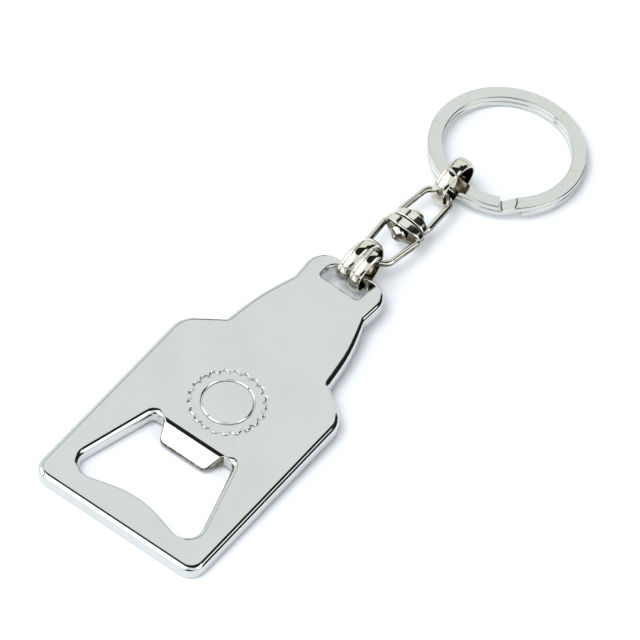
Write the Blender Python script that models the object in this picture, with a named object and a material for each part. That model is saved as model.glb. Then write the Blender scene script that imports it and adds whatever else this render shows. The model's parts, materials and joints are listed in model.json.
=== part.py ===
"""Keychain bottle opener: cast plate, two jump rings, a riveted wire swivel and a split key ring.

Dimensions are in millimetres and are scaled to metres when a node is added. The opener lies
on the floor with its length along +X, from the bottom edge of the plate to the key ring.
"""

import math

import bmesh
import bpy
import numpy as np
from mathutils.geometry import tessellate_polygon

MM = 0.001

PLATE_COLOUR = (0.80, 0.81, 0.80)
KEY_RING_COLOUR = (0.77, 0.77, 0.75)
LINK_COLOUR = (0.74, 0.71, 0.66)
SWIVEL_COLOUR = (0.72, 0.69, 0.63)
RIVET_COLOUR = (0.66, 0.62, 0.56)

# Plate: length runs along x, width along y, the bottom edge sits at x = 0.
PLATE_T = 3.0
PLATE_TILT = 1.75
EDGE_R_TOP = 0.7
EDGE_R_BOTTOM = 0.5
PLATE_CORNERS = [
    (0.0, 20.0, 3.5),
    (47.2, 20.0, 5.5),
    (52.6, 12.75, 0.8),
    (61.6, 11.55, 40.0),
    (69.2, 8.75, 1.0),
    (78.2, 9.25, 4.6),
]
CAP_OPENING_CORNERS = [
    (9.0, 0.0, 20.0),
    (4.4, 15.7, 3.2),
    (25.8, 9.8, 1.3),
    (25.8, 7.1, 0.9),
    (22.0, 5.5, 1.3),
]
EYELET_CORNERS = [
    (72.25, 4.6, 0.6),
    (76.5, 4.6, 2.2),
]
END_BAR_X = 77.35
TONGUE_BASE_X = 25.5
TONGUE_TIP_X = 22.0
TONGUE_TIP_T = 0.9
TONGUE_SHOULDER_R = 1.8
TONGUE_CUT_HALF_WIDTH = 8.6

# Jump rings: D-profile bands standing on edge.
RING_R_OUT = 5.35
RING_R_IN = 4.5
LOWER_BAND_W = 2.7
LOWER_RING_TURNS = 1.44
LOWER_RING_PITCH = 2.9
LOWER_RING_CENTRE = (79.7, -0.4, 5.35)
LOWER_RING_YAW = -3.0
UPPER_BAND_W = 3.1
UPPER_RING_GAP = 3.0
UPPER_RING_SEAM = 105.0
UPPER_RING_YAW = -3.5
UPPER_RING_LEAN = 5.0

# Swivel: two wire stirrups closed by oval straps and held by one loose rivet.
SWIVEL_HALF_LENGTH = 10.85
SWIVEL_Z = 4.4
SWIVEL_YAW = -2.1
WIRE_D = 1.4
BOW_CORNER_R = 2.3
BOW_PIVOT = 3.1
STRAP_HALF_HEIGHT = 2.3
STRAP_OVERHANG = 0.45
STRAP_EXPONENT = 1.9
STRAP_CORNER_R = 1.3
STRAP_T = 2.3
STRAP_GAP = 0.3
STRAP_HOLE_R = 1.2
LOWER_LEGS = (4.15, 3.4)
UPPER_LEGS = (3.6, 3.15)
RIVET_SHANK_R = 0.9
RIVET_HEAD_R = 2.0
RIVET_HEAD_H = 1.3
LOWER_BOW_OFFSET = 3.15
LOWER_BOW_SIDE = 0.2
UPPER_BOW_OFFSET = 3.2

# Split key ring: one flat strip wound twice, stepping down a level at the jog.
KEY_RING_R = 14.5
STRIP_W = 3.0
STRIP_T = 1.2
COIL_PITCH = 1.3
KEY_RING_START = 210.0
KEY_RING_SWEEP = 703.0
JOG_SWEEP = 16.0
KEY_RING_YAW = -9.5
KEY_RING_TILT = 3.73
KEY_BAND_OFFSET = 0.9
KEY_BAND_Z = 3.28


def clear_scene():
    for old in list(bpy.data.objects):
        bpy.data.objects.remove(old, do_unlink=True)


def unit(vector):
    return vector / np.linalg.norm(vector)


def yawed(degrees):
    """Horizontal unit vectors along and across a link turned about +Z."""
    a = math.radians(degrees)
    along = np.array([math.cos(a), math.sin(a), 0.0])
    across = np.array([-math.sin(a), math.cos(a), 0.0])
    return along, across


def leaned(across, degrees):
    """Cross axis and upward axis of a link whose top leans towards -y."""
    a = math.radians(degrees)
    up = np.array([0.0, 0.0, 1.0])
    return across * math.cos(a) + up * math.sin(a), up * math.cos(a) - across * math.sin(a)


def rounded_outline(corners, step=14.0):
    """Polyline round a closed polygon of (x, y, radius) corners, with an arc at each corner."""
    points = []
    count = len(corners)
    for i in range(count):
        here = np.array(corners[i][:2])
        back = unit(np.array(corners[i - 1][:2]) - here)
        ahead = unit(np.array(corners[(i + 1) % count][:2]) - here)
        half = 0.5 * math.acos(float(np.clip(back @ ahead, -1.0, 1.0)))
        centre = here + unit(back + ahead) * corners[i][2] / math.sin(half)
        turn = math.pi - 2.0 * half
        steps = max(2, math.ceil(math.degrees(turn) / step))
        start = here + back * corners[i][2] / math.tan(half) - centre
        side = math.copysign(1.0, back[1] * ahead[0] - back[0] * ahead[1])
        for k in range(steps + 1):
            a = side * turn * k / steps
            spin = np.array([[math.cos(a), -math.sin(a)], [math.sin(a), math.cos(a)]])
            points.append(centre + spin @ start)
    return np.array(points)


def mirrored(corners):
    """Corner list given on the +y side, completed with its mirror image below the x axis."""
    lower = [(x, -y, r) for x, y, r in reversed(corners) if y != 0.0]
    return list(corners) + lower


def counter_clockwise(points):
    x, y = points[:, 0], points[:, 1]
    area = np.sum(x * np.roll(y, -1) - np.roll(x, -1) * y)
    return points if area > 0.0 else points[::-1]


def offset_left(points, distance):
    """Closed polyline moved to the left of its direction of travel, mitred at every vertex."""
    ahead = np.roll(points, -1, axis=0) - points
    ahead = ahead / np.linalg.norm(ahead, axis=1)[:, None]
    normals = np.column_stack([-ahead[:, 1], ahead[:, 0]])
    mitre = normals + np.roll(normals, 1, axis=0)
    mitre = mitre / np.sum(mitre * normals, axis=1)[:, None]
    return points + mitre * distance


def edge_levels(thickness, r_bottom, r_top, steps=3):
    """Heights and insets that round both rims of a flat plate."""
    levels = []
    for k in range(steps + 1):
        a = 0.5 * math.pi * k / steps
        levels.append((r_bottom * (1.0 - math.cos(a)), r_bottom * (1.0 - math.sin(a))))
    for k in range(steps + 1):
        a = 0.5 * math.pi * k / steps
        levels.append((thickness - r_top * (1.0 - math.sin(a)), r_top * (1.0 - math.cos(a))))
    return levels


def flat_solid(outer, holes, levels):
    """Vertices and faces of a plate with holes, built level by level from its outlines."""
    loops = [counter_clockwise(outer)] + [counter_clockwise(hole)[::-1] for hole in holes]
    verts, faces, starts = [], [], []
    for loop in loops:
        first = len(verts)
        starts.append(first)
        count = len(loop)
        for z, inset in levels:
            for x, y in offset_left(loop, inset):
                verts.append((x, y, z))
        for level in range(len(levels) - 1):
            for i in range(count):
                low = first + level * count
                j = (i + 1) % count
                faces.append((low + i, low + j, low + count + j, low + count + i))
    for level in (0, len(levels) - 1):
        index = []
        for loop, first in zip(loops, starts):
            index.extend(range(first + level * len(loop), first + (level + 1) * len(loop)))
        rings, at = [], 0
        for loop in loops:
            rings.append([verts[i] for i in index[at:at + len(loop)]])
            at += len(loop)
        for tri in tessellate_polygon(rings):
            faces.append(tuple(index[i] for i in tri))
    return np.array(verts), faces


def swept_solid(sections):
    """Closed body through a list of equally long cross-sections, capped at both ends."""
    count = len(sections[0])
    verts = np.concatenate(sections)
    faces = []
    for k in range(len(sections) - 1):
        for i in range(count):
            j = (i + 1) % count
            a = k * count
            faces.append((a + i, a + j, a + count + j, a + count + i))
    last = (len(sections) - 1) * count
    faces.append(tuple(range(count)))
    faces.append(tuple(range(last, last + count)))
    return verts, faces


def mesh_of(name, verts, faces):
    """Mesh with outward normals, from vertices in millimetres."""
    mesh = bpy.data.meshes.new(name)
    mesh.from_pydata((verts * MM).tolist(), [], faces)
    work = bmesh.new()
    work.from_mesh(mesh)
    bmesh.ops.remove_doubles(work, verts=work.verts, dist=1e-6)
    bmesh.ops.recalc_face_normals(work, faces=work.faces)
    bmesh.ops.triangulate(work, faces=[f for f in work.faces if len(f.verts) > 4])
    work.to_mesh(mesh)
    work.free()
    return mesh


def metal(name, colour, roughness):
    material = bpy.data.materials.new(name)
    material.use_nodes = True
    shader = material.node_tree.nodes["Principled BSDF"]
    shader.inputs["Base Color"].default_value = (*colour, 1.0)
    shader.inputs["Metallic"].default_value = 1.0
    shader.inputs["Roughness"].default_value = roughness
    return material


def add_node(name, verts, faces, pivot, material):
    """Object whose origin sits on the pivot of its joint; vertices are world millimetres."""
    pivot = np.array(pivot)
    mesh = mesh_of(name, verts - pivot, faces)
    mesh.materials.append(material)
    node = bpy.data.objects.new(name, mesh)
    node.location = (pivot * MM).tolist()
    bpy.context.scene.collection.objects.link(node)
    return node


def add_cutter(name, verts, faces, pivot):
    cutter = bpy.data.objects.new(name, mesh_of(name, verts - np.array(pivot), faces))
    cutter.location = (np.array(pivot) * MM).tolist()
    cutter.hide_render = True
    cutter.display_type = "WIRE"
    bpy.context.scene.collection.objects.link(cutter)
    return cutter


def combine(node, operand, operation):
    step = node.modifiers.new(operation.title(), "BOOLEAN")
    step.operation = operation
    step.solver = "EXACT"
    step.object = operand


def tilted(verts):
    """Plate coordinates turned so the end bar lies on the lower jump ring."""
    a = math.radians(PLATE_TILT)
    x = verts[:, 0] * math.cos(a) - verts[:, 2] * math.sin(a)
    z = verts[:, 0] * math.sin(a) + verts[:, 2] * math.cos(a)
    return np.column_stack([x + PLATE_T * math.sin(a), verts[:, 1], z])


def tongue_profile():
    """Side outline of the material removed above the tongue, in plate x and z."""
    slope = math.atan2(PLATE_T - TONGUE_TIP_T, TONGUE_BASE_X - TONGUE_TIP_X)
    reach = TONGUE_SHOULDER_R * math.tan(slope / 2.0)
    start = TONGUE_BASE_X + reach
    profile = [(start + 0.05, PLATE_T + 1.0), (start + 0.05, PLATE_T + 0.001)]
    for k in range(4):
        a = slope * k / 3.0
        drop = TONGUE_SHOULDER_R * (1.0 - math.cos(a))
        profile.append((start - TONGUE_SHOULDER_R * math.sin(a), PLATE_T + 0.001 - drop))
    beyond = 2.0
    profile.append((TONGUE_TIP_X - beyond, TONGUE_TIP_T - beyond * math.tan(slope)))
    profile.append((TONGUE_TIP_X - beyond, PLATE_T + 1.0))
    return profile


def build_plate():
    outer = rounded_outline(mirrored(PLATE_CORNERS))
    opening = rounded_outline(mirrored(CAP_OPENING_CORNERS))
    eyelet = rounded_outline(mirrored(EYELET_CORNERS))
    levels = edge_levels(PLATE_T, EDGE_R_BOTTOM, EDGE_R_TOP)
    verts, faces = flat_solid(outer, [opening, eyelet], levels)
    nickel = metal("plate_nickel", PLATE_COLOUR, 0.12)
    plate = add_node("opener_plate", tilted(verts), faces, (0.0, 0.0, 0.0), nickel)
    profile = tongue_profile()
    sides = [
        np.array([(x, y, z) for x, z in profile])
        for y in (-TONGUE_CUT_HALF_WIDTH, TONGUE_CUT_HALF_WIDTH)
    ]
    verts, faces = swept_solid(sides)
    combine(plate, add_cutter("tongue_cutter", tilted(verts), faces, (0.0, 0.0, 0.0)), "DIFFERENCE")


def d_section(width, steps=8):
    """Half-round band section as (across, radius) pairs, flat on the bore side."""
    lip = 0.3
    chamfer = 0.15
    half = width / 2.0
    height = RING_R_OUT - RING_R_IN - lip
    section = [(-half + chamfer, RING_R_IN), (half - chamfer, RING_R_IN), (half, RING_R_IN + chamfer)]
    for k in range(steps + 1):
        a = math.pi * k / steps
        section.append((half * math.cos(a), RING_R_IN + lip + height * math.sin(a)))
    section.append((-half, RING_R_IN + chamfer))
    return section


def jump_ring(centre, yaw, width, start, sweep, pitch=0.0, middle=0.0, lean=0.0):
    """Band swept about a link's cross axis, drifting along that axis by one pitch per turn."""
    along, across = yawed(yaw)
    across, up = leaned(across, lean)
    section = d_section(width)
    sections = []
    count = math.ceil(sweep / 6.0)
    for k in range(count + 1):
        degrees = start + sweep * k / count
        a = math.radians(degrees)
        radial = math.cos(a) * along + math.sin(a) * up
        drift = pitch * (degrees - middle) / 360.0
        here = np.array(centre) + drift * across
        sections.append(np.array([here + r * radial + w * across for w, r in section]))
    return swept_solid(sections)


def lower_bow_apex():
    along, across = yawed(LOWER_RING_YAW)
    apex = np.array(LOWER_RING_CENTRE) + LOWER_BOW_OFFSET * along + LOWER_BOW_SIDE * across
    apex[2] = SWIVEL_Z
    return apex


def lower_bow_centre():
    """Middle of the lower stirrup's bow, which the jump ring slides round."""
    along, _ = yawed(SWIVEL_YAW)
    return lower_bow_apex() + BOW_PIVOT * along


def swivel_centre():
    along, _ = yawed(SWIVEL_YAW)
    return lower_bow_apex() + SWIVEL_HALF_LENGTH * along


def upper_bow_apex():
    along, _ = yawed(SWIVEL_YAW)
    return swivel_centre() + SWIVEL_HALF_LENGTH * along


def upper_ring_centre():
    along, _ = yawed(UPPER_RING_YAW)
    centre = upper_bow_apex() + UPPER_BOW_OFFSET * along
    centre[2] = RING_R_OUT
    return centre


def key_band_point():
    """Centre of the key ring's band where it passes through the upper jump ring."""
    along, _ = yawed(UPPER_RING_YAW)
    point = upper_ring_centre() + KEY_BAND_OFFSET * along
    point[2] = KEY_BAND_Z
    return point


def build_lower_ring():
    sweep = 360.0 * LOWER_RING_TURNS
    middle = 340.0
    start = middle - sweep / 2.0
    verts, faces = jump_ring(
        LOWER_RING_CENTRE, LOWER_RING_YAW, LOWER_BAND_W, start, sweep, LOWER_RING_PITCH, middle
    )
    bar = tilted(np.array([[END_BAR_X, 0.0, PLATE_T / 2.0]]))[0]
    add_node("lower_jump_ring", verts, faces, bar, metal("lower_ring_nickel", LINK_COLOUR, 0.16))


def build_upper_ring():
    start = UPPER_RING_SEAM + UPPER_RING_GAP / 2.0
    sweep = 360.0 - UPPER_RING_GAP
    centre = upper_ring_centre()
    verts, faces = jump_ring(centre, UPPER_RING_YAW, UPPER_BAND_W, start, sweep, lean=UPPER_RING_LEAN)
    nickel = metal("upper_ring_nickel", LINK_COLOUR, 0.16)
    add_node("upper_jump_ring", verts, faces, upper_bow_apex(), nickel)


def wire_path(legs):
    """Centre line of one stirrup in its own plane, from the strap round the bow; the bow points to -x."""
    strap_half, bow_half = legs
    leg_end = -STRAP_GAP / 2.0 - WIRE_D / 2.0 - 0.1
    corner_x = BOW_CORNER_R - SWIVEL_HALF_LENGTH
    corner_y = bow_half - BOW_CORNER_R
    steps = 9
    side = []
    for k in range(steps + 1):
        a = 0.5 * math.pi * k / steps
        reach = np.array([math.cos(a), math.sin(a)]) - 1.0
        side.append(tuple(np.array([leg_end, strap_half]) + STRAP_CORNER_R * reach))
    for k in range(steps + 1):
        a = 0.5 * math.pi * (1.0 + k / steps)
        side.append((corner_x + BOW_CORNER_R * math.cos(a), corner_y + BOW_CORNER_R * math.sin(a)))
    return np.array(side + [(x, -y) for x, y in reversed(side)])


def wire_mesh(path, sides=14):
    sections = []
    for k in range(len(path)):
        before = path[max(k - 1, 0)]
        after = path[min(k + 1, len(path) - 1)]
        ahead = unit(after - before)
        normal = np.array([-ahead[1], ahead[0]])
        ring = []
        for s in range(sides):
            a = 2.0 * math.pi * s / sides
            flat = path[k] + normal * WIRE_D / 2.0 * math.cos(a)
            ring.append((flat[0], flat[1], WIRE_D / 2.0 * math.sin(a)))
        sections.append(np.array(ring))
    return swept_solid(sections)


def superellipse(half_x, half_y, exponent, count):
    angles = np.arange(count) * 2.0 * math.pi / count
    c, s = np.cos(angles), np.sin(angles)
    x = half_x * np.sign(c) * np.abs(c) ** (2.0 / exponent)
    y = half_y * np.sign(s) * np.abs(s) ** (2.0 / exponent)
    return np.column_stack([x, y])


def strap_thickness(y, half_width):
    """Thickness of a strap, which thins towards its ends to the thickness of the wire."""
    return WIRE_D + (STRAP_T - WIRE_D) * (1.0 - (y / half_width) ** 2)


def strap_mesh(legs):
    """Oval strap standing across the stirrup's legs, with the rivet hole through it."""
    half_width = legs[0] + STRAP_OVERHANG
    oval = superellipse(half_width, STRAP_HALF_HEIGHT, STRAP_EXPONENT, 40)
    hole = superellipse(STRAP_HOLE_R, STRAP_HOLE_R, 2.0, 20)
    flat, faces = flat_solid(oval, [hole], edge_levels(STRAP_T, 0.25, 0.25, 2))
    depth = (1.0 - flat[:, 2] / STRAP_T) * strap_thickness(flat[:, 0], half_width)
    return np.column_stack([-STRAP_GAP / 2.0 - depth, flat[:, 0], flat[:, 1]]), faces


def in_swivel(verts, flipped):
    """Swivel coordinates (x along its axis) to world millimetres."""
    along, across = yawed(SWIVEL_YAW + (180.0 if flipped else 0.0))
    up = np.array([0.0, 0.0, 1.0])
    return swivel_centre() + verts @ np.array([along, across, up])


def build_stirrup(name, legs, flipped, pivot, material_name):
    material = metal(material_name, SWIVEL_COLOUR, 0.18)
    wire, wire_faces = wire_mesh(wire_path(legs))
    strap, strap_faces = strap_mesh(legs)
    node = add_node(name, in_swivel(wire, flipped), wire_faces, pivot, material)
    cutter = add_cutter(name + "_strap", in_swivel(strap, flipped), strap_faces, pivot)
    combine(node, cutter, "UNION")


def build_rivet():
    """Shank through both straps with a domed head inside each stirrup."""
    clear = STRAP_GAP / 2.0 + STRAP_T + 0.25
    profile = []
    for degrees in (80, 60, 40, 20, 0):
        a = math.radians(degrees)
        profile.append((clear + RIVET_HEAD_H * math.sin(a), RIVET_HEAD_R * math.cos(a)))
    profile.append((clear, RIVET_SHANK_R))
    profile += [(-x, r) for x, r in reversed(profile)]
    sides = 24
    sections = []
    for x, r in profile:
        turn = [2.0 * math.pi * s / sides for s in range(sides)]
        sections.append(np.array([(x, r * math.cos(a), r * math.sin(a)) for a in turn]))
    verts, faces = swept_solid(sections)
    nickel = metal("rivet_nickel", RIVET_COLOUR, 0.22)
    add_node("swivel_rivet", in_swivel(verts, False), faces, swivel_centre(), nickel)


def strip_section():
    """Flat strip section with slightly broken corners as (radius, height) pairs."""
    w, t, c = STRIP_W / 2.0, STRIP_T / 2.0, 0.2
    right = [(w - c, -t), (w, -t + c), (w, t - c), (w - c, t)]
    left = [(-r, h) for r, h in reversed(right)]
    return right + left


def coil_height(turned):
    """Height of the strip's middle after it has turned by some degrees from its upper end."""
    down = (turned - (360.0 - JOG_SWEEP)) / JOG_SWEEP
    down = min(max(down, 0.0), 1.0)
    return COIL_PITCH * (0.5 - down * down * (3.0 - 2.0 * down))


def key_ring_axes():
    """Axes of the key ring's own frame: away from the jump ring, across, and normal."""
    along, across = yawed(KEY_RING_YAW)
    a = math.radians(KEY_RING_TILT)
    away = along * math.cos(a) - np.array([0.0, 0.0, math.sin(a)])
    return away, across, np.cross(away, across)


def build_key_ring():
    away, across, normal = key_ring_axes()
    band = key_band_point()
    centre = band + KEY_RING_R * away
    start = math.radians(KEY_RING_START - KEY_RING_YAW)
    coarse = list(np.arange(0.0, KEY_RING_SWEEP, 5.0))
    jog = list(np.linspace(360.0 - JOG_SWEEP, 360.0, 7))
    turns = sorted(set(round(float(v), 3) for v in coarse + jog + [KEY_RING_SWEEP]))
    sections = []
    for turned in turns:
        a = start - math.radians(turned)
        radial = math.cos(a) * away + math.sin(a) * across
        z = coil_height(turned)
        section = [centre + (KEY_RING_R + r) * radial + (z + h) * normal for r, h in strip_section()]
        sections.append(np.array(section))
    verts, faces = swept_solid(sections)
    add_node("split_key_ring", verts, faces, band, metal("key_ring_nickel", KEY_RING_COLOUR, 0.14))


def centre_on_floor():
    """Moves everything so the floor is at z = 0 and the bounding box is centred on the origin."""
    bpy.context.view_layer.update()
    nodes = [o for o in bpy.data.objects if o.type == "MESH" and not o.hide_render]
    corners = np.array([o.matrix_world @ v.co for o in nodes for v in o.data.vertices])
    low, high = corners.min(axis=0), corners.max(axis=0)
    shift = np.array([(low[0] + high[0]) / 2.0, (low[1] + high[1]) / 2.0, low[2]])
    for item in bpy.data.objects:
        item.location = (np.array(item.location) - shift).tolist()


def shade(angle=32.0):
    for item in bpy.data.objects:
        item.data.shade_smooth()
        item.data.set_sharp_from_angle(angle=math.radians(angle))


def main():
    clear_scene()
    build_plate()
    build_lower_ring()
    build_stirrup("swivel_lower_stirrup", LOWER_LEGS, False, lower_bow_centre(), "lower_stirrup_nickel")
    build_rivet()
    build_stirrup("swivel_upper_stirrup", UPPER_LEGS, True, swivel_centre(), "upper_stirrup_nickel")
    build_upper_ring()
    build_key_ring()
    centre_on_floor()
    shade()


main()
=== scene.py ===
"""Looks of the keychain bottle opener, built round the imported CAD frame.

Every CAD node is replaced by a finely rounded piece made from the same layout. The layout is in
millimetres: x along the plate from its bottom edge, y across it, z up; one shift, taken from the
frame's first joint, puts it in the row frame.
"""

import json
import math

import bmesh
import bpy
import numpy as np
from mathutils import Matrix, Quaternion, Vector
from mathutils.geometry import delaunay_2d_cdt


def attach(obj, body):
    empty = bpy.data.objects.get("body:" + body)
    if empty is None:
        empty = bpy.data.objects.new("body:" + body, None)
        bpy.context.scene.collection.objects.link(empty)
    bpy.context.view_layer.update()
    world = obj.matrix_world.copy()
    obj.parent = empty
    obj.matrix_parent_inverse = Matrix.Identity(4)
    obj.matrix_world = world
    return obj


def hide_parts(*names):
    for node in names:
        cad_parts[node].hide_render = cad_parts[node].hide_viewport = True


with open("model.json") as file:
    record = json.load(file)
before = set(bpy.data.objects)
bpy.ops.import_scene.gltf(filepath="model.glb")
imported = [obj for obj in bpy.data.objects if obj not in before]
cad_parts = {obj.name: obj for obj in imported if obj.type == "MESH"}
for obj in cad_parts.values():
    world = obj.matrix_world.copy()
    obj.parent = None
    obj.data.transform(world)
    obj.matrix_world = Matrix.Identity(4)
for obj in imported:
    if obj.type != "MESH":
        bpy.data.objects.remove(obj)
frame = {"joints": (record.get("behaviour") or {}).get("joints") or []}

MM = 0.001

# Plate. The upper rim thins to the end bar's along the neck, and to the tongue's within TONGUE_RIM_Y.
PLATE_T = 3.0
PLATE_TILT = 1.75
RIM_R_TOP = 1.2
END_BAR_RIM_R = 0.95
NECK_RIM_START = 64.0
NECK_RIM_RUN = 6.0
TONGUE_RIM_Y = 7.6
TONGUE_RIM_RUN = 1.4
TONGUE_RIM_END_X = 27.0
EYELET_RIM_R = 0.55
TONGUE_RIM_R = 0.3
RIM_R_BOTTOM = 0.5
RIM_HOLD = 0.04
RIM_STEPS = 14
OUTLINE_STEP = 0.3
PLATE_CORNERS = [
    (0.0, 20.0, 3.5),
    (47.2, 20.0, 5.5),
    (52.6, 12.75, 0.8),
    (61.6, 11.55, 40.0),
    (69.2, 8.75, 1.0),
    (78.2, 9.25, 4.6),
]
CAP_OPENING_CORNERS = [
    (9.0, 0.0, 20.0),
    (4.4, 15.7, 3.2),
    (25.8, 9.8, 1.3),
    (25.8, 7.1, 0.9),
    (22.0, 5.5, 1.3),
]
EYELET_CORNERS = [
    (72.25, 4.6, 0.6),
    (76.5, 4.6, 2.2),
]
END_BAR_X = 77.35
TONGUE_BASE_X = 25.5
TONGUE_TIP_X = 22.0
TONGUE_TIP_T = 0.9
TONGUE_SHOULDER_R = 2.8
TONGUE_HALF_WIDTH = 9.0

# Engraved crown-cap outline: a scalloped line with a plain circle inside it.
MOTIF_X = 36.5
MOTIF_R = 7.0
MOTIF_WAVE = 0.75
MOTIF_TEETH = 21
MOTIF_INNER_R = 5.2
GROOVE_W = 0.6
GROOVE_DEPTH = 0.22

# Jump rings.
RING_R_OUT = 5.35
RING_R_IN = 4.5
RING_SIDE_H = 0.3
RING_LIP_R = 0.15
LOWER_BAND_W = 2.7
LOWER_RING_TURNS = 1.44
LOWER_RING_PITCH = 2.9
LOWER_RING_MIDDLE = 340.0
LOWER_RING_CENTRE = (79.7, -0.4, 5.35)
LOWER_RING_YAW = -3.0
UPPER_BAND_W = 3.1
UPPER_RING_GAP = 3.0
UPPER_RING_SEAM = 105.0
UPPER_RING_YAW = -3.5
UPPER_RING_LEAN = 5.0

# Swivel.
SWIVEL_HALF_LENGTH = 10.85
SWIVEL_Z = 4.4
SWIVEL_YAW = -2.1
WIRE_D = 1.4
BOW_CORNER_R = 2.3
STRAP_HALF_HEIGHT = 2.3
STRAP_OVERHANG = 0.45
STRAP_EXPONENT = 1.9
STRAP_CORNER_R = 1.3
STRAP_T = 2.3
STRAP_GAP = 0.3
STRAP_HOLE_R = 1.2
LOWER_LEGS = (4.15, 3.4)
UPPER_LEGS = (3.6, 3.15)
WELD_VOXEL = 0.1
RIVET_SHANK_R = 0.9
RIVET_HEAD_R = 2.0
RIVET_HEAD_H = 1.3
RIVET_CLEARANCE = 0.25
# Peening of the rivet's heads: under-edge, shrink and slump, and dents as waves round, depth and twist.
RIVET_UNDER_EDGE = 0.12
RIVET_SHRINK = 0.08
RIVET_SLUMP = 0.05
RIVET_DENTS = [(3.0, 0.10, 2.0), (5.0, 0.08, -1.3)]
LOWER_BOW_OFFSET = 3.15
LOWER_BOW_SIDE = 0.2
UPPER_BOW_OFFSET = 3.2

# Split key ring.
KEY_RING_R = 14.5
STRIP_W = 3.0
STRIP_T = 1.2
STRIP_CORNER_R = 0.25
COIL_PITCH = 1.3
KEY_RING_START = 210.0
KEY_RING_SWEEP = 703.0
JOG_SWEEP = 16.0
KEY_RING_YAW = -9.5
KEY_RING_TILT = 3.73
KEY_BAND_OFFSET = 0.9
KEY_BAND_Z = 3.28

# Painted dark reflection, a near-black base colour in the jump rings' bores, on the swivel's flanks and on
# the tongue's steep sides:
# its colour, how far it reaches past each edge, and the upward share of the normals it lies on.
PAINTED_REFLECTION_COLOUR = (0.09, 0.07, 0.04)
BORE_MARGIN = 0.04
TONGUE_SIDE_MARGIN = 0.3
TONGUE_SIDE_TILT = 0.7
FLANK_TILTS = (-0.6, 0.52)
FLANK_BLEND = 0.12

# Camera: the photograph's angle, far away with a long lens.
VIEW_AZIMUTH = -58.0
VIEW_ELEVATION = 52.65
VIEW_ROLL = 6.6
VIEW_DISTANCE = 2.0
VIEW_WIDTH = 0.1254
VIEW_CENTRE = (64.87, -1.12, 3.0)
SENSOR = 36.0

# Surround, as wavy patches over the wall tone: azimuth, zenith angle, radius, softness, light.
WALL_LIGHT = (1.00, 1.04, 1.03)
BOX_LIGHT = (1.9, 1.9, 1.9)
ROOM_LIGHT = (0.02, 0.02, 0.02)
SKY_PATCHES = [
    (-108.0, 55.0, 38.0, 6.0, BOX_LIGHT),
    (100.0, 48.0, 26.0, 5.0, BOX_LIGHT),
    (60.0, 55.0, 24.0, 4.0, ROOM_LIGHT),
    (82.0, 76.0, 23.0, 4.0, ROOM_LIGHT),
    (180.0, 85.0, 28.0, 6.0, ROOM_LIGHT),
    (60.0, 4.0, 26.0, 1.5, ROOM_LIGHT),
]
# How far and how finely the patches' edges wave. The dark strip and the dark horizon band are spans of
# the look direction's y and height. The overhead light is in metres and watts.
SKY_WARP = 0.22
SKY_WARP_SCALE = 2.6
DARK_STRIP = (0.52, 0.60)
DARK_STRIP_BLEND = 0.02
HORIZON = (0.07, 0.05)
OVERHEAD_PLACE = (-0.25, 0.1, 0.9)
OVERHEAD_SIZE = 0.6
OVERHEAD_POWER = 4.4


def unit(vector):
    return vector / np.linalg.norm(vector)


def yawed(degrees):
    """Horizontal unit vectors along and across a link turned about +Z."""
    a = math.radians(degrees)
    along = np.array([math.cos(a), math.sin(a), 0.0])
    across = np.array([-math.sin(a), math.cos(a), 0.0])
    return along, across


def leaned(across, degrees):
    """Cross axis and upward axis of a link whose top leans towards -y."""
    a = math.radians(degrees)
    up = np.array([0.0, 0.0, 1.0])
    return across * math.cos(a) + up * math.sin(a), up * math.cos(a) - across * math.sin(a)


def rounded_outline(corners, step=4.0):
    """Polyline round a closed polygon of (x, y, radius) corners, with an arc at each corner."""
    points = []
    count = len(corners)
    for i in range(count):
        here = np.array(corners[i][:2])
        back = unit(np.array(corners[i - 1][:2]) - here)
        ahead = unit(np.array(corners[(i + 1) % count][:2]) - here)
        half = 0.5 * math.acos(float(np.clip(back @ ahead, -1.0, 1.0)))
        centre = here + unit(back + ahead) * corners[i][2] / math.sin(half)
        turn = math.pi - 2.0 * half
        steps = max(2, math.ceil(math.degrees(turn) / step))
        start = here + back * corners[i][2] / math.tan(half) - centre
        side = math.copysign(1.0, back[1] * ahead[0] - back[0] * ahead[1])
        for k in range(steps + 1):
            a = side * turn * k / steps
            spin = np.array([[math.cos(a), -math.sin(a)], [math.sin(a), math.cos(a)]])
            points.append(centre + spin @ start)
    return np.array(points)


def mirrored(corners):
    """Corner list given on the +y side, completed with its mirror image below the x axis."""
    lower = [(x, -y, r) for x, y, r in reversed(corners) if y != 0.0]
    return list(corners) + lower


def counter_clockwise(points):
    x, y = points[:, 0], points[:, 1]
    area = np.sum(x * np.roll(y, -1) - np.roll(x, -1) * y)
    return points if area > 0.0 else points[::-1]


def spaced(points, step):
    """Closed polyline with points added so that no segment is longer than the step."""
    out = []
    apart = np.linalg.norm(np.roll(points, -1, axis=0) - points, axis=1) > 0.01
    points = points[apart]
    for a, b in zip(points, np.roll(points, -1, axis=0)):
        count = math.ceil(np.linalg.norm(b - a) / step)
        out += [a + (b - a) * k / count for k in range(count)]
    return np.array(out)


def left_mitres(points):
    """Vectors that move a closed polyline one unit to the left of its direction of travel."""
    ahead = np.roll(points, -1, axis=0) - points
    ahead = ahead / np.linalg.norm(ahead, axis=1)[:, None]
    normals = np.column_stack([-ahead[:, 1], ahead[:, 0]])
    mitre = normals + np.roll(normals, 1, axis=0)
    return mitre / np.sum(mitre * normals, axis=1)[:, None]


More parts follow.
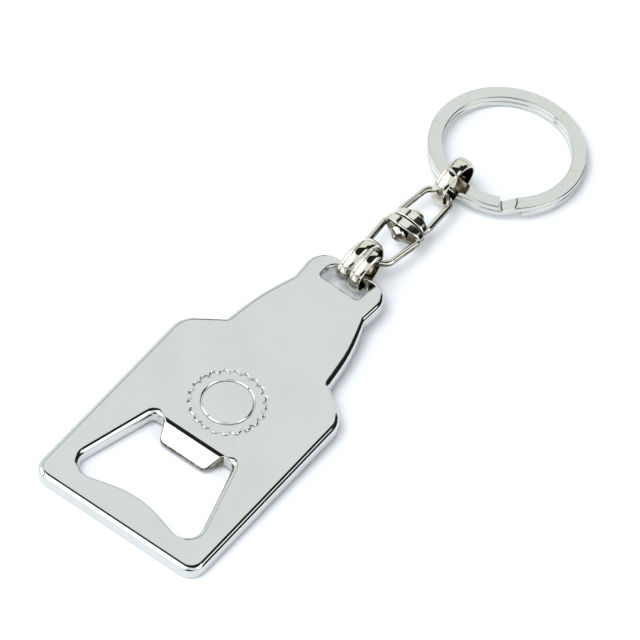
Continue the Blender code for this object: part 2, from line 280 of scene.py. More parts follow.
def tongue_drop(points):
    """How far the top lies below the flat at (x, y) points: the tongue's wedge and its round shoulder."""
    x, y = points[:, 0], points[:, 1]
    slope = math.atan2(PLATE_T - TONGUE_TIP_T, TONGUE_BASE_X - TONGUE_TIP_X)
    run = TONGUE_BASE_X + TONGUE_SHOULDER_R * math.tan(slope / 2.0) - x
    arc = TONGUE_SHOULDER_R - np.sqrt(np.maximum(TONGUE_SHOULDER_R ** 2 - run ** 2, 0.0))
    wedge = (TONGUE_BASE_X - x) * math.tan(slope)
    drop = np.where(run < TONGUE_SHOULDER_R * math.sin(slope), arc, wedge)
    over = (run > 0.0) & (x > TONGUE_TIP_X - 1.0) & (np.abs(y) < TONGUE_HALF_WIDTH)
    return np.where(over, drop, 0.0)


def motif_radius(angle):
    """Radius of the scalloped line: round bumps outwards with a crease between each pair."""
    return MOTIF_R + MOTIF_WAVE * np.abs(np.sin(MOTIF_TEETH * angle / 2.0))


def groove_drop(points):
    """Depth of the engraved lines at (x, y) points."""
    dx, dy = points[:, 0] - MOTIF_X, points[:, 1]
    radius = np.hypot(dx, dy)
    scalloped = motif_radius(np.arctan2(dy, dx))
    near = np.minimum(np.abs(radius - scalloped), np.abs(radius - MOTIF_INNER_R))
    return GROOVE_DEPTH * np.maximum(1.0 - (2.0 * near / GROOVE_W) ** 2, 0.0)


def top_height(points):
    return PLATE_T - tongue_drop(points) - groove_drop(points)


def groove_rails(step=0.14):
    """Closed polylines that follow each engraved line at several offsets across its width."""
    rails = []
    for offset in np.linspace(-0.5, 0.5, 7) * GROOVE_W:
        for radius in (motif_radius, lambda angle: MOTIF_INNER_R):
            count = math.ceil(2.0 * math.pi * radius(0.0) / step)
            turn = np.arange(count) * 2.0 * math.pi / count
            reach = np.array([radius(a) + offset for a in turn])
            rails.append(np.column_stack([MOTIF_X + reach * np.cos(turn), reach * np.sin(turn)]))
    return rails


def tongue_points(step=0.25, margin=0.95):
    """Points over the tongue and its shoulder, closer together where the surface bends."""
    fine = np.arange(TONGUE_BASE_X - 1.0, TONGUE_BASE_X + 1.0, step / 3.0)
    coarse = np.arange(TONGUE_TIP_X + 0.6, TONGUE_BASE_X - 1.0, step)
    root_x, root_half = CAP_OPENING_CORNERS[3][:2]
    tip_half = CAP_OPENING_CORNERS[4][1]
    points = []
    for x in list(coarse) + list(fine):
        share = (x - TONGUE_TIP_X) / (root_x - TONGUE_TIP_X)
        half = tip_half + (root_half - tip_half) * min(share, 1.0) - margin
        if x > root_x + RIM_R_TOP + 0.12:
            half = TONGUE_HALF_WIDTH
        for y in np.linspace(-half, half, math.ceil(2.0 * half / step)):
            points.append((x, y))
    return np.array(points)


def inside(loop, points):
    """True for each point inside a closed polyline, by counting crossings."""
    x, y = points[:, 0][:, None], points[:, 1][:, None]
    ax, ay = loop[:, 0][None, :], loop[:, 1][None, :]
    bx, by = np.roll(loop, -1, axis=0).T
    rise = np.where(by == ay, 1e-12, by - ay)
    crosses = ((ay > y) != (by > y)) & (x < (bx - ax) * (y - ay) / rise + ax)
    return np.count_nonzero(crosses, axis=1) % 2 == 1


def fill(loops, extra, rails):
    """Triangles between the first loop and the others, as indices into loops, extra and rails in turn."""
    parts = list(loops) + [extra] + list(rails)
    points = np.concatenate([p for p in parts if len(p)])
    edges, at = [], 0
    for part in parts:
        if part is not extra:
            count = len(part)
            edges += [(at + i, at + (i + 1) % count) for i in range(count)]
        at += len(part)
    made = delaunay_2d_cdt([Vector(p) for p in points], edges, [], 0, 1e-7)
    source = [origin[0] for origin in made[3]]
    tris = np.array([[source[i] for i in face] for face in made[2]])
    centres = points[tris].mean(axis=1)
    keep = inside(loops[0], centres)
    for hole in loops[1:]:
        keep &= ~inside(hole, centres)
    return tris[keep]


def rim_rings(loop, top_radius):
    """Vertex rings from the underside to the top along one outline, rounding both of its rims."""
    mitres = left_mitres(loop)
    rings = []

    def ring(inset, height):
        flat = loop + mitres * np.reshape(inset, (-1, 1))
        rings.append(np.column_stack([flat, height(flat)]))

    def at_level(z):
        return lambda flat: np.full(len(flat), z)

    def below_top(drop):
        return lambda flat: top_height(flat) - drop

    ring(np.full(len(loop), RIM_R_BOTTOM + RIM_HOLD), at_level(0.0))
    for a in np.linspace(0.0, math.pi / 2.0, RIM_STEPS // 2 + 1):
        inset = np.full(len(loop), RIM_R_BOTTOM * (1.0 - math.sin(a)))
        ring(inset, at_level(RIM_R_BOTTOM * (1.0 - math.cos(a))))
    for a in np.linspace(0.0, math.pi / 2.0, RIM_STEPS + 1):
        ring(top_radius * (1.0 - math.cos(a)), below_top(top_radius * (1.0 - math.sin(a))))
    ring(top_radius + RIM_HOLD, below_top(0.0))
    return rings


def rim_radius(loop, largest):
    """Radius of the upper rim at each outline point, smaller round the tongue and at the end bar."""
    x, y = loop[:, 0], loop[:, 1]
    bar = np.clip((x - NECK_RIM_START) / NECK_RIM_RUN, 0.0, 1.0)
    largest = largest - bar * max(largest - END_BAR_RIM_R, 0.0)
    widening = np.clip((np.abs(y) - TONGUE_RIM_Y) / TONGUE_RIM_RUN, 0.0, 1.0)
    beside = np.where(x < TONGUE_RIM_END_X, widening, 1.0)
    far = np.where(x < TONGUE_TIP_X - 1.0, 1.0, beside)
    return TONGUE_RIM_R + (largest - TONGUE_RIM_R) * far


def plate_mesh():
    """Opener plate with its rounded rims, cap opening, tongue and eyelet."""
    outer = counter_clockwise(spaced(rounded_outline(mirrored(PLATE_CORNERS)), OUTLINE_STEP))
    opening = spaced(rounded_outline(mirrored(CAP_OPENING_CORNERS)), OUTLINE_STEP)
    eyelet = spaced(rounded_outline(mirrored(EYELET_CORNERS)), OUTLINE_STEP)
    loops = [outer, counter_clockwise(opening)[::-1], counter_clockwise(eyelet)[::-1]]
    largest = [RIM_R_TOP, RIM_R_TOP, EYELET_RIM_R]
    verts, faces, top_index, bottom_index, tops, bottoms = [], [], [], [], [], []
    for loop, radius in zip(loops, largest):
        rings = rim_rings(loop, rim_radius(loop, radius))
        first, count = sum(len(v) for v in verts), len(loop)
        verts += rings
        for level in range(len(rings) - 1):
            for i in range(count):
                low = first + level * count
                j = (i + 1) % count
                faces.append((low + i, low + j, low + count + j, low + count + i))
        bottom_index += range(first, first + count)
        top_index += range(first + (len(rings) - 1) * count, first + len(rings) * count)
        bottoms.append(rings[0][:, :2])
        tops.append(rings[-1][:, :2])
    extra, rails = tongue_points(), groove_rails()
    added = np.concatenate([extra] + rails)
    first = sum(len(v) for v in verts)
    verts.append(np.column_stack([added, top_height(added)]))
    top_index += range(first, first + len(added))
    faces += [tuple(top_index[i] for i in tri) for tri in fill(tops, extra, rails)]
    faces += [tuple(bottom_index[i] for i in tri) for tri in fill(bottoms, np.empty((0, 2)), [])]
    return tilted(np.concatenate(verts)), faces


def tilted(verts):
    """Plate coordinates turned so the end bar lies on the lower jump ring."""
    a = math.radians(PLATE_TILT)
    x = verts[:, 0] * math.cos(a) - verts[:, 2] * math.sin(a)
    z = verts[:, 0] * math.sin(a) + verts[:, 2] * math.cos(a)
    return np.column_stack([x + PLATE_T * math.sin(a), verts[:, 1], z])


def swept(sections):
    """Closed body through a list of equally long cross-sections, capped at both ends."""
    count = len(sections[0])
    verts = np.concatenate(sections)
    faces = []
    for k in range(len(sections) - 1):
        for i in range(count):
            j = (i + 1) % count
            a = k * count
            faces.append((a + i, a + j, a + count + j, a + count + i))
    last = (len(sections) - 1) * count
    faces.append(tuple(range(count)))
    faces.append(tuple(range(last, last + count)))
    return verts, faces


def softened_ends(sections, radius, steps=4):
    """The sections, with both ends drawn in over a short distance so that their rims are round."""
    def end(section, outward):
        centre = section.mean(axis=0)
        size = np.linalg.norm(section - centre, axis=1).min()
        made = []
        for k in range(1, steps + 1):
            a = 0.5 * math.pi * k / steps
            shrink = 1.0 - radius * (1.0 - math.cos(a)) / size
            made.append(centre + (section - centre) * shrink + outward * radius * math.sin(a))
        return made

    first = unit(sections[0].mean(axis=0) - sections[1].mean(axis=0))
    last = unit(sections[-1].mean(axis=0) - sections[-2].mean(axis=0))
    return end(sections[0] - first * radius, first)[::-1] + sections[1:-1] + end(
        sections[-1] - last * radius, last
    )


def band_section(width, steps=24):
    """Half-round band section as (across, radius) pairs, with small round lips on the bore side."""
    half = width / 2.0
    section = []
    for side in (-1.0, 1.0):
        for k in range(5):
            a = 0.5 * math.pi * (k if side > 0.0 else 4 - k) / 4.0
            reach = half - RING_LIP_R * (1.0 - math.sin(a))
            section.append((side * reach, RING_R_IN + RING_LIP_R * (1.0 - math.cos(a))))
    height = RING_R_OUT - RING_R_IN - RING_SIDE_H
    for k in range(steps + 1):
        a = math.pi * k / steps
        section.append((half * math.cos(a), RING_R_IN + RING_SIDE_H + height * math.sin(a)))
    return section


def jump_ring(centre, yaw, width, start, sweep, pitch=0.0, middle=0.0, lean=0.0, step=2.5):
    """Band swept about a link's cross axis, drifting along that axis by one pitch per turn."""
    along, across = yawed(yaw)
    across, up = leaned(across, lean)
    section = band_section(width)
    sections = []
    count = math.ceil(sweep / step)
    for k in range(count + 1):
        degrees = start + sweep * k / count
        a = math.radians(degrees)
        radial = math.cos(a) * along + math.sin(a) * up
        drift = pitch * (degrees - middle) / 360.0
        here = np.array(centre) + drift * across
        sections.append(np.array([here + r * radial + w * across for w, r in section]))
    return swept(softened_ends(sections, 0.12))


def lower_bow_apex():
    along, across = yawed(LOWER_RING_YAW)
    apex = np.array(LOWER_RING_CENTRE) + LOWER_BOW_OFFSET * along + LOWER_BOW_SIDE * across
    apex[2] = SWIVEL_Z
    return apex


def swivel_centre():
    along, _ = yawed(SWIVEL_YAW)
    return lower_bow_apex() + SWIVEL_HALF_LENGTH * along


def upper_ring_centre():
    along, _ = yawed(SWIVEL_YAW)
    apex = swivel_centre() + SWIVEL_HALF_LENGTH * along
    along, _ = yawed(UPPER_RING_YAW)
    centre = apex + UPPER_BOW_OFFSET * along
    centre[2] = RING_R_OUT
    return centre


def key_band_point():
    along, _ = yawed(UPPER_RING_YAW)
    point = upper_ring_centre() + KEY_BAND_OFFSET * along
    point[2] = KEY_BAND_Z
    return point


def lower_ring_mesh():
    sweep = 360.0 * LOWER_RING_TURNS
    start = LOWER_RING_MIDDLE - sweep / 2.0
    return jump_ring(
        LOWER_RING_CENTRE, LOWER_RING_YAW, LOWER_BAND_W, start, sweep, LOWER_RING_PITCH, LOWER_RING_MIDDLE
    )


def upper_ring_mesh():
    start = UPPER_RING_SEAM + UPPER_RING_GAP / 2.0
    sweep = 360.0 - UPPER_RING_GAP
    centre = upper_ring_centre()
    return jump_ring(centre, UPPER_RING_YAW, UPPER_BAND_W, start, sweep, lean=UPPER_RING_LEAN)


def wire_path(legs, steps=24):
    """Centre line of one stirrup in its own plane, from the strap round the bow; the bow points to -x."""
    strap_half, bow_half = legs
    leg_end = -STRAP_GAP / 2.0 - WIRE_D / 2.0 - 0.1
    corner_x = BOW_CORNER_R - SWIVEL_HALF_LENGTH
    corner_y = bow_half - BOW_CORNER_R
    side = []
    for k in range(steps + 1):
        a = 0.5 * math.pi * k / steps
        reach = np.array([math.cos(a), math.sin(a)]) - 1.0
        side.append(tuple(np.array([leg_end, strap_half]) + STRAP_CORNER_R * reach))
    for k in range(steps + 1):
        a = 0.5 * math.pi * (1.0 + k / steps)
        side.append((corner_x + BOW_CORNER_R * math.cos(a), corner_y + BOW_CORNER_R * math.sin(a)))
    return np.array(side + [(x, -y) for x, y in reversed(side)])


def wire_mesh(path, sides=32):
    sections = []
    for k in range(len(path)):
        ahead = unit(path[min(k + 1, len(path) - 1)] - path[max(k - 1, 0)])
        normal = np.array([-ahead[1], ahead[0]])
        turn = 2.0 * math.pi * np.arange(sides) / sides
        flat = path[k] + np.outer(WIRE_D / 2.0 * np.cos(turn), normal)
        sections.append(np.column_stack([flat, WIRE_D / 2.0 * np.sin(turn)]))
    return swept(sections)


def superellipse(half_x, half_y, exponent, count):
    angles = np.arange(count) * 2.0 * math.pi / count
    c, s = np.cos(angles), np.sin(angles)
    x = half_x * np.sign(c) * np.abs(c) ** (2.0 / exponent)
    y = half_y * np.sign(s) * np.abs(s) ** (2.0 / exponent)
    return np.column_stack([x, y])


def strap_thickness(y, half_width):
    """Thickness of a strap, which thins towards its ends to the thickness of the wire."""
    return WIRE_D + (STRAP_T - WIRE_D) * (1.0 - (y / half_width) ** 2)


def strap_mesh(legs, rim=0.25, steps=4):
    """Oval strap standing across the stirrup's legs, with the rivet hole through it."""
    count = 96
    half_width = legs[0] + STRAP_OVERHANG
    profile = []
    for k in range(steps + 1):
        a = 0.5 * math.pi * k / steps
        profile.append((rim * (1.0 - math.cos(a)), rim * (1.0 - math.sin(a))))
    profile += [(STRAP_T - depth, inset) for depth, inset in reversed(profile)]
    rings = []
    for depth, inset in profile:
        oval = superellipse(half_width - inset, STRAP_HALF_HEIGHT - inset, STRAP_EXPONENT, count)
        rings.append(np.column_stack([np.full(count, depth), oval]))
    for depth, inset in reversed(profile):
        hole = superellipse(STRAP_HOLE_R + inset, STRAP_HOLE_R + inset, 2.0, count)
        rings.append(np.column_stack([np.full(count, depth), hole]))
    verts = np.concatenate(rings)
    depth = (1.0 - verts[:, 0] / STRAP_T) * strap_thickness(verts[:, 1], half_width)
    verts[:, 0] = -STRAP_GAP / 2.0 - depth
    faces = []
    for k in range(len(rings)):
        a, b = k * count, (k + 1) % len(rings) * count
        for i in range(count):
            j = (i + 1) % count
            faces.append((a + i, a + j, b + j, b + i))
    return verts, faces


def joined(*meshes):
    """One vertex array and face list holding several meshes."""
    verts, faces, first = [], [], 0
    for some_verts, some_faces in meshes:
        verts.append(some_verts)
        faces += [tuple(first + i for i in face) for face in some_faces]
        first += len(some_verts)
    return np.concatenate(verts), faces


def in_swivel(verts, flipped):
    """Swivel coordinates (x along its axis) to layout millimetres."""
    along, across = yawed(SWIVEL_YAW + (180.0 if flipped else 0.0))
    up = np.array([0.0, 0.0, 1.0])
    return swivel_centre() + verts @ np.array([along, across, up])


def stirrup_mesh(legs, flipped):
    """Wire bow closed by an oval strap."""
    verts, faces = joined(wire_mesh(wire_path(legs)), strap_mesh(legs))
    return in_swivel(verts, flipped), faces


def rivet_mesh(sides=64):
    """Shank through both straps with a dented, domed head inside each stirrup."""
    clear = STRAP_GAP / 2.0 + STRAP_T + RIVET_CLEARANCE
    profile = []
    for degrees in (88, 80, 70, 60, 50, 40, 30, 20, 10, 0):
        a = math.radians(degrees)
        profile.append((clear + RIVET_HEAD_H * math.sin(a), RIVET_HEAD_R * math.cos(a)))
    profile.append((clear, RIVET_HEAD_R - RIVET_UNDER_EDGE))
    profile.append((clear, RIVET_SHANK_R))
    profile += [(-x, r) for x, r in reversed(profile)]
    turn = 2.0 * math.pi * np.arange(sides) / sides
    sections = []
    for x, r in profile:
        dome = min(max((abs(x) - clear) / RIVET_HEAD_H, 0.0), 1.0)
        dents = sum(depth * np.sin(waves * turn + twist * x) for waves, depth, twist in RIVET_DENTS)
        reach = r * (1.0 - RIVET_SHRINK * (r > RIVET_SHANK_R) + dents * dome)
        lift = x * (1.0 - RIVET_SLUMP * dome * (1.0 + np.sin(2.0 * turn + 0.7)))
        sections.append(np.column_stack([lift, reach * np.cos(turn), reach * np.sin(turn)]))
    verts, faces = swept(sections)
    return in_swivel(verts, False), faces


def strip_section(steps=4):
    """Flat strip section with round corners as (radius, height) pairs."""
    half_w, half_t, r = STRIP_W / 2.0, STRIP_T / 2.0, STRIP_CORNER_R
    section = []
    for corner, (side, lift) in enumerate(((1, -1), (1, 1), (-1, 1), (-1, -1))):
        for k in range(steps + 1):
            a = 0.5 * math.pi * (corner - 1 + k / steps)
            centre = (side * (half_w - r), lift * (half_t - r))
            section.append((centre[0] + r * math.cos(a), centre[1] + r * math.sin(a)))
    return section


def coil_height(turned):
    """Height of the strip's middle after it has turned by some degrees from its upper end."""
    down = (turned - (360.0 - JOG_SWEEP)) / JOG_SWEEP
    down = min(max(down, 0.0), 1.0)
    return COIL_PITCH * (0.5 - down * down * (3.0 - 2.0 * down))


def key_ring_axes():
    along, across = yawed(KEY_RING_YAW)
    a = math.radians(KEY_RING_TILT)
    away = along * math.cos(a) - np.array([0.0, 0.0, math.sin(a)])
    return away, across, np.cross(away, across)


def key_ring_mesh(step=1.5):
    """Flat strip wound twice, with a step at the jog."""
    away, across, normal = key_ring_axes()
    centre = key_band_point() + KEY_RING_R * away
    start = math.radians(KEY_RING_START - KEY_RING_YAW)
    sections = []
    for turned in np.linspace(0.0, KEY_RING_SWEEP, math.ceil(KEY_RING_SWEEP / step) + 1):
        a = start - math.radians(turned)
        radial = math.cos(a) * away + math.sin(a) * across
        z = coil_height(turned)
        strip = strip_section()
        sections.append(np.array([centre + (KEY_RING_R + r) * radial + (z + h) * normal for r, h in strip]))
    return swept(softened_ends(sections, 0.12))


def layout_shift():
    """What takes layout millimetres to the row frame, from the hinge on the plate's end bar."""
    hinge = next(j for j in frame["joints"] if j["name"] == "ring_on_end_bar")
    bar = tilted(np.array([[END_BAR_X, 0.0, PLATE_T / 2.0]]))[0]
    return np.array(hinge["pos_m"]) / MM - bar


def weld(piece):
    """Turns overlapping shells into one skin with soft fillets where they meet."""
    remesh = piece.modifiers.new("Weld", "REMESH")
    remesh.mode = "VOXEL"
    remesh.voxel_size = WELD_VOXEL * MM
    smooth = piece.modifiers.new("Polish", "SMOOTH")
    smooth.factor = 0.5
    smooth.iterations = 6
    evaluated = piece.evaluated_get(bpy.context.evaluated_depsgraph_get())
    welded = bpy.data.meshes.new_from_object(evaluated)
    piece.modifiers.clear()
    piece.data = welded


def bore_share(verts, centre, yaw, lean=0.0):
    """1 on a jump ring's bore and 0 elsewhere, for each vertex."""
    _, across = yawed(yaw)
    across, _ = leaned(across, lean)
    off = verts - np.array(centre)
    off -= np.outer(off @ across, across)
    return np.linalg.norm(off, axis=1) < RING_R_IN + BORE_MARGIN


def tongue_edge(verts, normals):
    """1 on the steep sides of the tongue and 0 elsewhere, for each vertex."""
    root_x, root_half = CAP_OPENING_CORNERS[3][:2]
    x, y = verts[:, 0], verts[:, 1]
    beside = np.abs(y) < root_half + TONGUE_SIDE_MARGIN
    along = (x > TONGUE_TIP_X - 1.0) & (x < root_x + TONGUE_SIDE_MARGIN)
    return beside & along & (normals[:, 2] < TONGUE_SIDE_TILT)


def lower_bore(verts, normals):
    """1 in the bore of the lower jump ring and 0 elsewhere, for each vertex."""
    return bore_share(verts, LOWER_RING_CENTRE, LOWER_RING_YAW)


def upper_bore(verts, normals):
    """1 in the bore of the leaning upper jump ring and 0 elsewhere, for each vertex."""
    return bore_share(verts, upper_ring_centre(), UPPER_RING_YAW, UPPER_RING_LEAN)


def flanks(verts, normals):
    """1 on the upright flanks of the swivel and 0 on its polished top and bottom, for each vertex."""
    low, high = FLANK_TILTS
    tilt = normals[:, 2]
    below_top = np.clip((high - tilt) / FLANK_BLEND, 0.0, 1.0)
    return below_top * np.clip((tilt - low) / FLANK_BLEND, 0.0, 1.0)


def add_piece(name, mesh, node, body, material, smooth_angle=32.0, welded=False, dark_reflection_mask=None):
    """Piece that stands for a CAD node and rides on its body, with a painted dark reflection in its base
    colour where the mask says.
    """
    verts, faces = mesh
    data = bpy.data.meshes.new(name)
    data.from_pydata(((verts + layout_shift()) * MM).tolist(), [], faces)
    work = bmesh.new()
    work.from_mesh(data)
    bmesh.ops.recalc_face_normals(work, faces=work.faces)
    work.to_mesh(data)
    work.free()
    piece = bpy.data.objects.new(name, data)
    bpy.context.scene.collection.objects.link(piece)
    if welded:
        weld(piece)
    # Painted dark reflection: a per-vertex mask, from the rest pose's positions and normals, of where the
    # base colour turns near-black.
    if dark_reflection_mask:
        spots = np.array([vert.co for vert in piece.data.vertices]) / MM - layout_shift()
        normals = np.array([vert.normal for vert in piece.data.vertices])
        painted_reflection = piece.data.attributes.new("painted_reflection", "FLOAT", "POINT")
        painted_reflection.data.foreach_set("value", dark_reflection_mask(spots, normals).astype(np.float32))
    piece.data.materials.clear()
    piece.data.materials.append(material)
    piece.data.shade_smooth()
    piece.data.set_sharp_from_angle(angle=math.radians(smooth_angle))
    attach(piece, body)
    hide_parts(node)
    return piece


class Tree:
    """Small helper that adds nodes to a node tree and links them by value or socket."""

    def __init__(self, tree):
        self.tree = tree

    def node(self, kind, settings=None, inputs=None):
        made = self.tree.nodes.new(kind)
        for key, value in (settings or {}).items():
            setattr(made, key, value)
        for key, value in (inputs or {}).items():
            self.put(made.inputs[key], value)
        return made

    def put(self, socket, value):
        if isinstance(value, bpy.types.NodeSocket):
            self.tree.links.new(value, socket)
        else:
            socket.default_value = value

    def math(self, operation, *values, clamp=False):
        made = self.node("ShaderNodeMath", {"operation": operation, "use_clamp": clamp})
        for socket, value in zip(made.inputs, values):
            self.put(socket, value)
        return made.outputs[0]

    def ramp(self, value, low, high, to_low=0.0, to_high=1.0, smooth=True):
        made = self.node(
            "ShaderNodeMapRange",
            {"interpolation_type": "SMOOTHSTEP" if smooth else "LINEAR"},
            {"Value": value, "From Min": low, "From Max": high, "To Min": to_low, "To Max": to_high},
        )
        return made.outputs[0]

    def mix(self, factor, a, b):
        made = self.node("ShaderNodeMix", {"data_type": "RGBA"})
        self.put(made.inputs[0], factor)
        self.put(made.inputs[6], a)
        self.put(made.inputs[7], b)
        return made.outputs[2]

    def noise(self, vector, scale, detail=2.0, roughness=0.5):
        made = self.node(
            "ShaderNodeTexNoise",
            inputs={"Vector": vector, "Scale": scale, "Detail": detail, "Roughness": roughness},
        )
        return made.outputs["Fac"]


def rgba(colour):
    return (*colour, 1.0)


def hairlines(tree, place, turn, length, spacing, threshold):
    """Mask of fine straight scratches that run one way."""
    mapping = tree.node("ShaderNodeMapping", inputs={"Vector": place})
    tree.put(mapping.inputs["Rotation"], (0.0, 0.0, math.radians(turn)))
    tree.put(mapping.inputs["Scale"], (1.0 / length, 1.0 / spacing, 1.0 / spacing))
    streaks = tree.noise(mapping.outputs[0], 1.0, 1.0)
    return tree.ramp(streaks, threshold, threshold + 0.05)


def nickel(name, colour, stain, worn, roughness, relief):
    """Polished nickel plate: mottled tone, smears in the gloss, hairline scratches, pits, worn edges and a
    painted dark reflection.
    """
    material = bpy.data.materials.new(name)
    material.use_nodes = True
    tree = Tree(material.node_tree)
    shader = material.node_tree.nodes["Principled BSDF"]
    place = tree.node("ShaderNodeTexCoord").outputs["Object"]
    place = tree.node("ShaderNodeMapping", inputs={"Vector": place, "Scale": (1000.0,) * 3}).outputs[0]

    mottle = tree.ramp(tree.noise(place, 0.09, 3.0), 0.35, 0.7)
    tone = tree.mix(mottle, rgba(colour), rgba(stain))
    pointed = tree.node("ShaderNodeNewGeometry").outputs["Pointiness"]
    edge = tree.ramp(pointed, 0.53, 0.62)
    wear = tree.math("MULTIPLY", edge, tree.ramp(tree.noise(place, 0.8, 4.0, 0.7), 0.4, 0.65))
    tone = tree.mix(wear, tone, rgba(worn))

    scratches = tree.math(
        "MAXIMUM",
        hairlines(tree, place, 24.0, 9.0, 0.22, 0.70),
        hairlines(tree, place, -57.0, 7.0, 0.25, 0.72),
    )
    spots = tree.node(
        "ShaderNodeTexVoronoi", inputs={"Vector": place, "Scale": 0.35, "Randomness": 1.0}
    )
    pits = tree.ramp(spots.outputs["Distance"], 0.10, 0.05)
    tone = tree.mix(tree.math("MULTIPLY", pits, 0.35), tone, rgba(worn))
    # Painted dark reflection: where the mesh's mask attribute is set, the base colour turns patchily
    # near-black, standing in for reflections of a dark surround.
    painted_reflection = tree.node("ShaderNodeAttribute", {"attribute_name": "painted_reflection"}).outputs["Fac"]
    patchy = tree.ramp(tree.noise(place, 0.7, 3.0), 0.3, 0.6, 0.55, 1.0)
    tone = tree.mix(tree.math("MULTIPLY", painted_reflection, patchy), tone, rgba(PAINTED_REFLECTION_COLOUR))
    tree.put(shader.inputs["Base Color"], tone)

    smear = tree.ramp(tree.noise(place, 0.35, 4.0, 0.6), 0.3, 0.75, 0.75 * roughness, 1.6 * roughness)
    gloss = tree.math("ADD", smear, tree.math("MULTIPLY", scratches, 0.10))
    gloss = tree.math("ADD", gloss, tree.math("MULTIPLY", wear, 0.12), clamp=True)
    tree.put(shader.inputs["Roughness"], gloss)
    shader.inputs["Metallic"].default_value = 1.0

    waves = tree.noise(place, 0.22, 1.0)
    height = tree.math("MULTIPLY", waves, 2.0)
    height = tree.math("ADD", height, tree.math("MULTIPLY", scratches, -0.06))
    height = tree.math("ADD", height, tree.math("MULTIPLY", pits, -0.10))
    bump = tree.node(
        "ShaderNodeBump", inputs={"Height": height, "Strength": relief, "Distance": 0.02 * MM}
    )
    tree.put(shader.inputs["Normal"], bump.outputs[0])
    return material


def view_axes():
    """Unit vectors to the camera, along the ground away from it, and to its right."""
    a, e = math.radians(VIEW_AZIMUTH), math.radians(VIEW_ELEVATION)
    back = Vector((math.sin(a) * math.cos(e), -math.cos(a) * math.cos(e), math.sin(e)))
    forward = Vector((-math.sin(a), math.cos(a), 0.0))
    right = Vector((math.cos(a), math.sin(a), 0.0))
    return back, forward, right


def add_camera():
    """The photograph's view of the object."""
    back, _, _ = view_axes()
    data = bpy.data.cameras.new("camera")
    data.sensor_width = SENSOR
    data.lens = SENSOR * VIEW_DISTANCE / VIEW_WIDTH
    data.clip_start = 0.05
    data.clip_end = 50.0
    camera = bpy.data.objects.new("camera", data)
    target = (np.array(VIEW_CENTRE) + layout_shift()) * MM
    camera.location = Vector(target) + back * VIEW_DISTANCE
    roll = Quaternion((0.0, 0.0, 1.0), math.radians(VIEW_ROLL))
    camera.rotation_euler = ((-back).to_track_quat("-Z", "Y") @ roll).to_euler()
    bpy.context.scene.collection.objects.link(camera)
    bpy.context.scene.camera = camera


def sky_direction(azimuth, zenith):
    """World direction at an azimuth clockwise from the camera's heading and an angle from straight up."""
    a, z = math.radians(azimuth), math.radians(zenith)
    _, forward, right = view_axes()
    flat = forward * math.cos(a) + right * math.sin(a)
    return flat * math.sin(z) + Vector((0.0, 0.0, math.cos(z)))


def warped_look(tree):
    """Look direction bent by slow noise, so that the patches of the surround get wavy edges."""
    straight = tree.node("ShaderNodeTexCoord").outputs["Generated"]
    wobble = tree.node(
        "ShaderNodeTexNoise", inputs={"Vector": straight, "Scale": SKY_WARP_SCALE, "Detail": 1.0}
    ).outputs["Color"]
    shifted = tree.node("ShaderNodeVectorMath", {"operation": "SUBTRACT"})
    tree.put(shifted.inputs[0], wobble)
    tree.put(shifted.inputs[1], (0.5, 0.5, 0.5))
    scaled = tree.node("ShaderNodeVectorMath", {"operation": "SCALE"}, {"Scale": SKY_WARP})
    tree.put(scaled.inputs[0], shifted.outputs[0])
    warped = tree.node("ShaderNodeVectorMath", {"operation": "ADD"})
    tree.put(warped.inputs[0], straight)
    tree.put(warped.inputs[1], scaled.outputs[0])
    return warped.outputs[0]


def add_world():
    """Surround of a small photo studio: pale walls, a soft box on each side, and the dark room in between."""
    world = bpy.data.worlds.new("studio")
    bpy.context.scene.world = world
    world.use_nodes = True
    tree = Tree(world.node_tree)
    look = warped_look(tree)

    def towards(vector):
        made = tree.node("ShaderNodeVectorMath", {"operation": "DOT_PRODUCT"})
        tree.put(made.inputs[0], look)
        tree.put(made.inputs[1], vector)
        return made.outputs["Value"]

    sky = rgba(WALL_LIGHT)
    for azimuth, zenith, radius, soft, light in SKY_PATCHES:
        low = math.cos(math.radians(radius + soft / 2.0))
        high = math.cos(math.radians(radius - soft / 2.0))
        patch = tree.ramp(towards(sky_direction(azimuth, zenith)), low, high)
        sky = tree.mix(patch, sky, rgba(light))
    aside = towards((0.0, 1.0, 0.0))
    first, last = DARK_STRIP
    from_first = tree.ramp(aside, first - DARK_STRIP_BLEND, first + DARK_STRIP_BLEND)
    to_last = tree.ramp(aside, last + DARK_STRIP_BLEND, last - DARK_STRIP_BLEND)
    strip = tree.math("MULTIPLY", from_first, to_last)
    sky = tree.mix(strip, sky, rgba(ROOM_LIGHT))
    level = tree.ramp(tree.math("ABSOLUTE", towards((0.0, 0.0, 1.0))), *HORIZON)
    sky = tree.mix(level, sky, rgba(ROOM_LIGHT))
    seen = tree.node("ShaderNodeLightPath").outputs["Is Camera Ray"]
    sky = tree.mix(seen, sky, rgba((1.0, 1.0, 1.0)))
    tree.put(world.node_tree.nodes["Background"].inputs["Color"], sky)


def add_overhead():
    """Soft overhead light that brightens the floor but isn't mirrored in the metal."""
    data = bpy.data.lights.new("overhead", "AREA")
    data.shape = "DISK"
    data.size = OVERHEAD_SIZE
    data.energy = OVERHEAD_POWER
    light = bpy.data.objects.new("overhead", data)
    light.location = OVERHEAD_PLACE
    light.rotation_euler = (-Vector(OVERHEAD_PLACE)).to_track_quat("-Z", "Y").to_euler()
    light.visible_glossy = False
    bpy.context.scene.collection.objects.link(light)


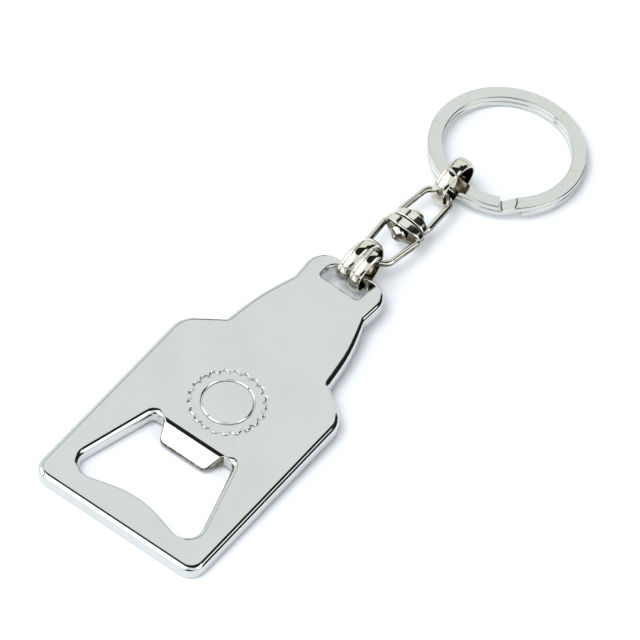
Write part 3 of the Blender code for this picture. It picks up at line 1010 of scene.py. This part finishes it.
def add_floor(radius=3.0, sides=96):
    """White paper under the object."""
    data = bpy.data.meshes.new("floor")
    turn = 2.0 * math.pi * np.arange(sides) / sides
    rim = np.column_stack([radius * np.cos(turn), radius * np.sin(turn), np.zeros(sides)])
    data.from_pydata(rim.tolist(), [], [tuple(range(sides))])
    floor = bpy.data.objects.new("floor", data)
    bpy.context.scene.collection.objects.link(floor)
    material = bpy.data.materials.new("white_paper")
    material.use_nodes = True
    shader = material.node_tree.nodes["Principled BSDF"]
    shader.inputs["Base Color"].default_value = rgba((0.89, 0.92, 0.97))
    shader.inputs["Roughness"].default_value = 0.9
    shader.inputs["Specular IOR Level"].default_value = 0.1
    data.materials.append(material)


def add_pieces():
    """The seven visible pieces, in chain order."""
    plate = nickel("plate_nickel", (0.66, 0.68, 0.67), (0.65, 0.66, 0.64), (0.60, 0.58, 0.54), 0.05, 0.25)
    link = nickel("link_nickel", (0.72, 0.70, 0.63), (0.66, 0.63, 0.54), (0.52, 0.44, 0.32), 0.06, 0.35)
    swivel = nickel("swivel_nickel", (0.80, 0.79, 0.75), (0.74, 0.72, 0.65), (0.60, 0.53, 0.40), 0.06, 0.35)
    key = nickel("key_ring_nickel", (0.66, 0.67, 0.65), (0.64, 0.64, 0.60), (0.56, 0.50, 0.40), 0.06, 0.3)
    # The plate's tongue sides, the jump rings' bores and the swivel's flanks get the painted dark reflection
    # through their masks.
    add_piece("opener_plate_polished", plate_mesh(), "opener_plate", "opener", plate, dark_reflection_mask=tongue_edge)
    lower_ring = lower_ring_mesh()
    add_piece("lower_jump_ring_band", lower_ring, "lower_jump_ring", "lower_ring", link, dark_reflection_mask=lower_bore)
    add_piece(
        "lower_stirrup_cast",
        stirrup_mesh(LOWER_LEGS, False),
        "swivel_lower_stirrup",
        "lower_stirrup",
        swivel,
        welded=True,
        dark_reflection_mask=flanks,
    )
    add_piece("swivel_rivet_turned", rivet_mesh(), "swivel_rivet", "rivet", swivel, dark_reflection_mask=flanks)
    add_piece(
        "upper_stirrup_cast",
        stirrup_mesh(UPPER_LEGS, True),
        "swivel_upper_stirrup",
        "upper_stirrup",
        swivel,
        welded=True,
        dark_reflection_mask=flanks,
    )
    upper_ring = upper_ring_mesh()
    add_piece("upper_jump_ring_band", upper_ring, "upper_jump_ring", "upper_ring", link, dark_reflection_mask=upper_bore)
    add_piece("key_ring_coil", key_ring_mesh(), "split_key_ring", "key_ring", key)


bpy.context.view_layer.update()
bpy.context.scene.view_settings.view_transform = "Standard"
add_pieces()
add_floor()
add_world()
add_overhead()
add_camera()
